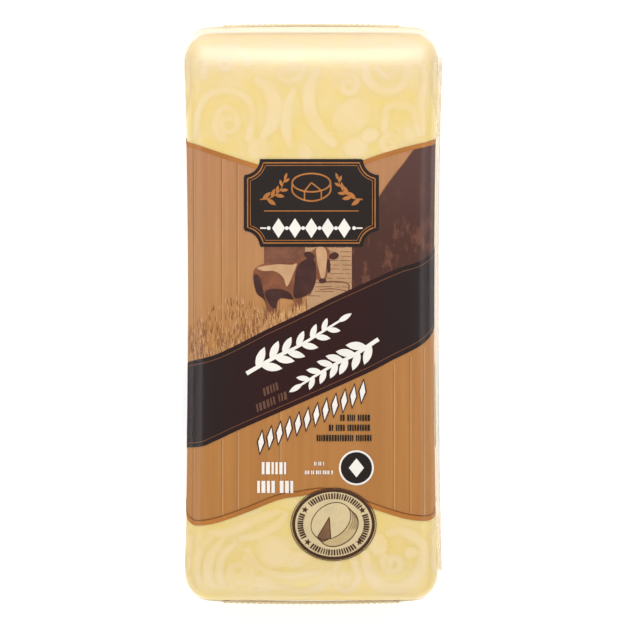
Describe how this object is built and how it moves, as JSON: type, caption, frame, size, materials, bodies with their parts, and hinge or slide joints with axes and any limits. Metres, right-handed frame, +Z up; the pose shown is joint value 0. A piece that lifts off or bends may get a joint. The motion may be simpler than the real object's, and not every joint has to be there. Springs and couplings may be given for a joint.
{
  "type": "cheddar block",
  "caption": "Flat bar of pale cheddar sealed in tight clear film with a tan and dark brown printed label band, lying on its back.",
  "frame": {"origin": "middle of the flat resting face", "axes": "+X across the width towards the side seam, +Y along the length towards the head end, +Z up out of the printed front"},
  "size_m": [0.0678, 0.152, 0.022],
  "materials": {
    "clear_film": "tight clear film with a soft gloss",
    "cheese": "pale yellow cheddar, slightly moist and translucent",
    "label_print": "printed on the film, under its gloss",
    "scroll_print": "thin cream ink on the film"
  },
  "bodies": {
    "root": {"sealed_pack": "clear_film"}
  },
  "joints": []
}
